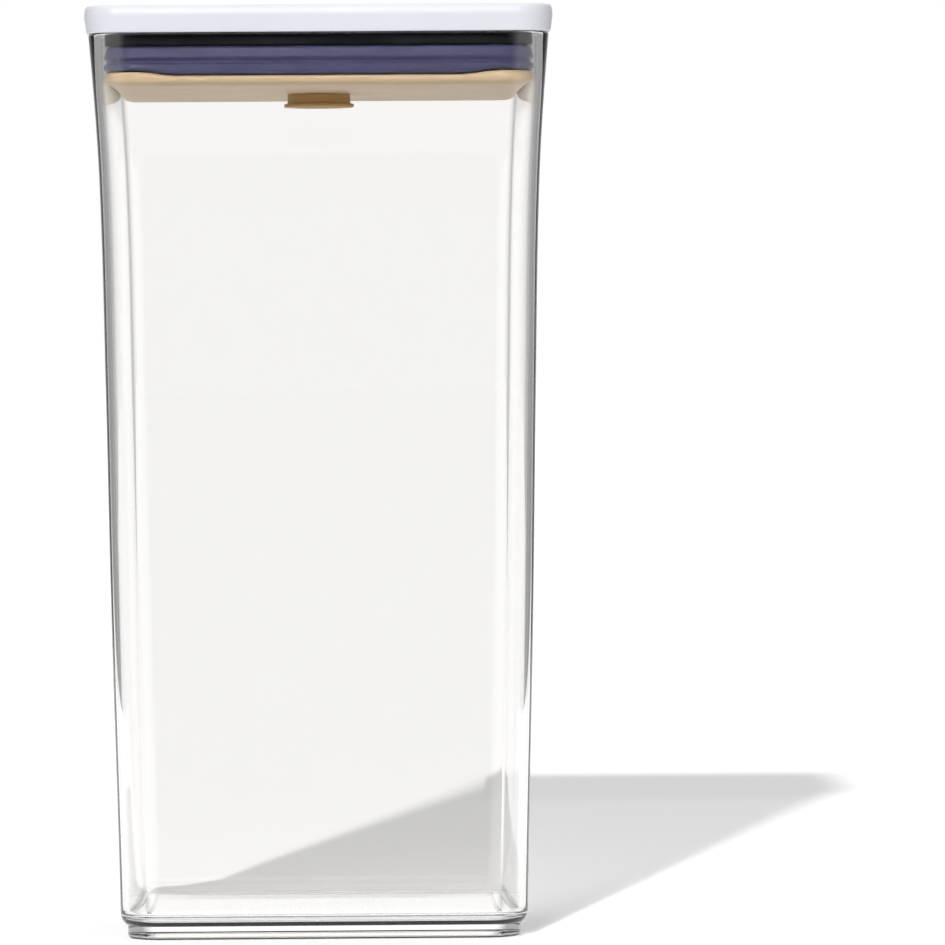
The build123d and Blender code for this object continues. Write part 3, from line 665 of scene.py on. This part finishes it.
def add_coil(mesh, x, y):
    """Adds one coil spring round (x, y) to a mesh."""

    def raised(t):
        return float(smoothstep(-FLATTENED_ENDS, 1 + FLATTENED_ENDS, t))

    rows = []
    for i in range(COIL_STEPS + 1):
        t = i / COIL_STEPS
        a = 2 * math.pi * COIL_TURNS * t
        rise = (raised(t) - raised(0.0)) / (raised(1.0) - raised(0.0))
        height = SPRING_LOW + (SPRING_HIGH - SPRING_LOW) * rise
        centre = Vector((x + COIL_R * math.cos(a), y + COIL_R * math.sin(a), height))
        out, up = Vector((math.cos(a), math.sin(a), 0)), Vector((0, 0, 1))
        row = []
        for k in range(WIRE_SIDES):
            b = 2 * math.pi * k / WIRE_SIDES
            row.append(mesh.verts.new((centre + WIRE_R * (out * math.cos(b) + up * math.sin(b))) * MM))
        rows.append(row)
    for one, two in zip(rows, rows[1:]):
        for k in range(WIRE_SIDES):
            after = (k + 1) % WIRE_SIDES
            mesh.faces.new((one[k], one[after], two[after], two[k]))
    mesh.faces.new(rows[0])
    mesh.faces.new(rows[-1])


def make_springs():
    """Four coil springs that stretch between the chassis floor and the button."""
    mesh = bmesh.new()
    for x in (-SPRING_XY, SPRING_XY):
        for y in (-SPRING_XY, SPRING_XY):
            add_coil(mesh, x, y)
    springs = to_object("coil_springs", mesh)
    finish_stretched(springs, "steel", "pop_springs")


make_springs()


# ---- CAD nodes that stay, with their materials ----

SLOT_OF = {s["node"]: s["material_slot"] for s in frame["record"]["subparts"]}
REPLACED = {"canister_body", "lid_cover", "push_button", "gasket", "lower_plate", "hub_knob", "pop_springs"}
for node, thing in frame["nodes"].items():
    if node not in REPLACED:
        dress(thing, MATERIALS[SLOT_OF[node]])


# ---- floor, light and camera ----

FLOOR_FRONT, FLOOR_HALF = 0.2, 0.9
FLOOR_FAR, FLOOR_FAR_HALF = 60.0, 9.0
FLOOR_GLOW, BASE_GLOW = 0.08, 0.6
BASE_INSIDE, BASE_OUTSIDE = 0.060, 0.067  # the glow under the base ends between these distances

# Strengths of the sky, each with the sizes of a direction's X, Y or Z between which one becomes the next.
SKY_AHEAD, SKY_BESIDE, SKY_SIDES = 1.0, 0.17, (0.35, 0.85)
SKY_LEVEL, SKY_ABOVE, SKY_RISE = 0.66, 0.98, (0.1, 0.8)
JAR_AHEAD, JAR_BESIDE, JAR_SIDES = 1.11, 0.38, (0.10, 0.32)
JAR_BEHIND, JAR_FRONT = 1.0, (0.1, 0.35)
DARK, LIT, BEHIND_CAMERA = 0.02, 1.0, (-0.96, -0.75)

SUN_ANGLE = math.radians(1.4)
KEY_ENERGY, FLOOR_KEY_ENERGY, FILL_ENERGY = 1.78, 3.7, 0.95
SHADOW_RUN = Vector((0.161, 0.970, -0.318))
FILL_RUN = Vector((0.0, 0.2, 1.0))


def make_floor():
    """A plain white floor that ends just in front of the picture, so that the jar mirrors little of it.

    It glows under the jar, where lamps would shine through the clear base.
    """
    mesh = bmesh.new()
    corners = [
        (-FLOOR_HALF, -FLOOR_FRONT),
        (FLOOR_HALF, -FLOOR_FRONT),
        (FLOOR_FAR_HALF, FLOOR_FAR),
        (-FLOOR_FAR_HALF, FLOOR_FAR),
    ]
    mesh.faces.new([mesh.verts.new((x, y, 0)) for x, y in corners])
    floor = to_object("floor", mesh, smooth=False)
    material, tree, shader = new_material("white floor")
    set_values(shader, {"Base Color": (0.86, 0.86, 0.86, 1), "Roughness": 0.9, "Specular IOR Level": 0.1})
    set_values(shader, {"Emission Color": (1, 1, 1, 1)})
    x, y, _ = axes_of(tree, "Object")
    from_middle = combine(tree, "MAXIMUM", combine(tree, "ABSOLUTE", x), combine(tree, "ABSOLUTE", y))
    glow = span(tree, from_middle, BASE_GLOW, FLOOR_GLOW, BASE_INSIDE, BASE_OUTSIDE)
    tree.links.new(glow, shader.inputs["Emission Strength"])
    floor.data.materials.append(material)
    return floor


def make_world():
    """White to the camera, and through the jar white ahead and greyer to both sides.

    As a light it is dimmer, and dark behind the camera, so that the jar's front reflects little.
    """
    world = bpy.data.worlds.new("studio")
    bpy.context.scene.world = world
    world.use_nodes = True
    tree = world.node_tree
    x, y, z = axes_of(tree, "Generated")
    side = combine(tree, "ABSOLUTE", x)
    as_light = combine(
        tree,
        "MULTIPLY",
        span(tree, side, SKY_AHEAD, SKY_BESIDE, *SKY_SIDES),
        span(tree, z, SKY_LEVEL, SKY_ABOVE, *SKY_RISE),
    )
    through_jar = combine(
        tree,
        "MAXIMUM",
        span(tree, side, JAR_AHEAD, JAR_BESIDE, *JAR_SIDES),
        span(tree, y, JAR_BEHIND, JAR_BESIDE, *JAR_FRONT),
    )
    path = tree.nodes.new("ShaderNodeLightPath")
    shade = tree.nodes.new("ShaderNodeMapRange")
    tree.links.new(path.outputs["Is Transmission Ray"], shade.inputs["Value"])
    tree.links.new(as_light, shade.inputs["To Min"])
    tree.links.new(through_jar, shade.inputs["To Max"])
    not_behind = span(tree, y, DARK, LIT, *BEHIND_CAMERA)
    strength = combine(tree, "MULTIPLY", shade.outputs["Result"], not_behind)
    light = tree.nodes.new("ShaderNodeBackground")
    tree.links.new(strength, light.inputs["Strength"])
    seen = tree.nodes["Background"]
    set_values(light, {"Color": (1, 1, 1, 1)})
    set_values(seen, {"Color": (1, 1, 1, 1), "Strength": 1.0})
    show_by_ray(tree, "Is Camera Ray", light.outputs["Background"], seen.outputs["Background"])


def make_sun(name, energy, run, lit=()):
    """A sun whose light runs along a direction. One with lit set falls on those objects only."""
    data = bpy.data.lights.new(name, "SUN")
    data.energy = energy
    data.angle = SUN_ANGLE
    sun = bpy.data.objects.new(name, data)
    bpy.context.scene.collection.objects.link(sun)
    sun.rotation_euler = run.to_track_quat("-Z", "Y").to_euler()
    if lit:
        receivers = bpy.data.collections.new(name)
        for thing in lit:
            receivers.objects.link(thing)
        sun.light_linking.receiver_collection = receivers
    return data


def make_lamps(floor, plate, knob):
    """A low sun behind the camera, on its left, stronger for the floor, and a weak one up into the jar."""
    make_sun("key", KEY_ENERGY, SHADOW_RUN)
    make_sun("floor key", FLOOR_KEY_ENERGY, SHADOW_RUN, lit=[floor])
    fill = make_sun("fill inside the jar", FILL_ENERGY, FILL_RUN, lit=[plate, knob])
    fill.use_shadow = False


def make_camera():
    """A long lens, a little over half-way up the jar and straight in front of it."""
    data = bpy.data.cameras.new("camera")
    data.sensor_width = 36.0
    data.lens = 320.0
    camera = bpy.data.objects.new("camera", data)
    bpy.context.scene.collection.objects.link(camera)
    bpy.context.scene.camera = camera
    camera.location = (0.0, -2.941, 0.1993)
    yaw, pitch, roll = math.radians(-1.03), math.radians(-0.794), math.radians(-0.37)
    level = Matrix.Rotation(yaw, 4, "Z") @ Matrix.Rotation(math.pi / 2 + pitch, 4, "X")
    camera.rotation_euler = (level @ Matrix.Rotation(roll, 4, "Z")).to_euler()


floor = make_floor()
make_world()
make_lamps(floor, plate, knob)
make_camera()
bpy.context.scene.view_settings.view_transform = "Standard"
